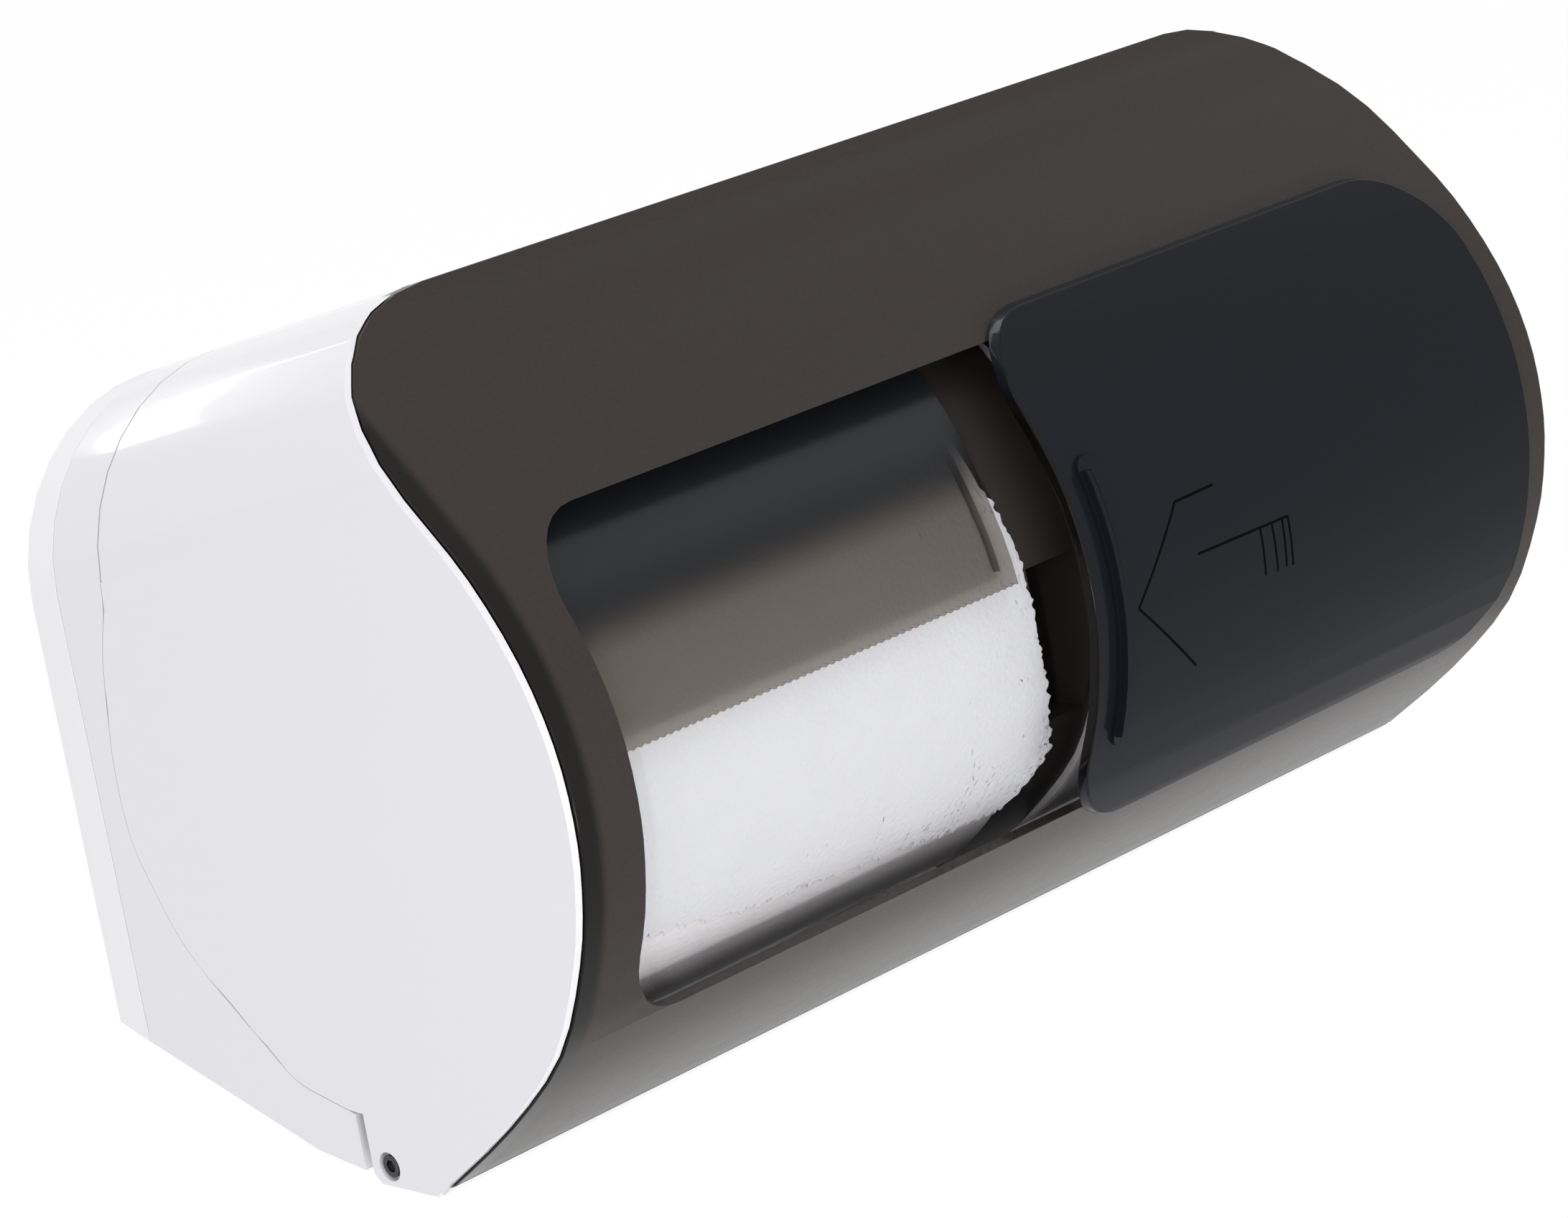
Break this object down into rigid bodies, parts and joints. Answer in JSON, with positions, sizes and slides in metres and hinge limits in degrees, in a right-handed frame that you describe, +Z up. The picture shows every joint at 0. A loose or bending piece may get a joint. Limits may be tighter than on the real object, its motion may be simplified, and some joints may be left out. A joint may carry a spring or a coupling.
{
  "type": "double roll toilet paper dispenser",
  "caption": "Wall-mounted toilet paper dispenser for rolls side by side, with an S-profiled cover that hinges open, a window and a sliding door over the closed half.",
  "frame": {"origin": "centre of the wall plate's back face", "axes": "+X along the body to the right as the user sees it, -Y out of the wall towards the user, +Z up"},
  "size_m": [0.3, 0.1627, 0.1757],
  "materials": {
    "grey_plastic": "fine matt grain",
    "white_plastic": "satin moulded",
    "smoked_plastic": "smoked, polished",
    "door_plastic": "polished",
    "black_plastic": "matt",
    "paper": "soft tissue",
    "card": "raw card",
    "steel": "plain"
  },
  "bodies": {
    "base": {"wall_plate": "grey_plastic", "rear_housing": "white_plastic", "centre_post": "black_plastic", "left_roll_bracket": "white_plastic", "right_roll_bracket": "white_plastic", "left_hinge_pin": "steel", "right_hinge_pin": "steel", "plate_screw_1": "steel", "plate_screw_2": "steel", "plate_screw_3": "steel", "plate_screw_4": "steel", "post_screw_1": "steel", "post_screw_2": "steel", "left_bracket_screw": "steel", "right_bracket_screw": "steel"},
    "cover": {"cover_shell": "white_plastic", "front_panel": "smoked_plastic", "left_tear_guard": "smoked_plastic", "right_tear_guard": "smoked_plastic", "lock_body": "steel", "lock_nut": "steel"},
    "door": {"sliding_door": "door_plastic", "upper_door_runner": "black_plastic", "lower_door_runner": "black_plastic"},
    "roll_left": {"left_spindle": "black_plastic", "left_core": "card", "left_paper_roll": "paper"},
    "roll_right": {"right_spindle": "black_plastic", "right_core": "card", "right_paper_roll": "paper"},
    "lock": {"lock_plug": "steel", "lock_cam": "steel", "cam_screw": "steel"}
  },
  "joints": [
    {"name": "cover_hinge", "type": "hinge", "parent": "base", "child": "cover", "pos_m": [0, -0.08254, -0.08479], "axis": [1, 0, 0], "range_deg": [0, 90]},
    {"name": "door_slide", "type": "slide", "parent": "cover", "child": "door", "axis": [-1, 0, 0], "range_m": [0, 0.135]},
    {"name": "left_roll_spin", "type": "hinge", "parent": "base", "child": "roll_left", "pos_m": [0, -0.082, -0.00859], "axis": [1, 0, 0], "continuous": true},
    {"name": "right_roll_spin", "type": "hinge", "parent": "base", "child": "roll_right", "pos_m": [0, -0.082, -0.00859], "axis": [1, 0, 0], "continuous": true},
    {"name": "lock_turn", "type": "hinge", "parent": "cover", "child": "lock", "pos_m": [0, -0.052, 0.07707], "axis": [0, -0.2228, -0.9749], "range_deg": [0, 90]}
  ]
}
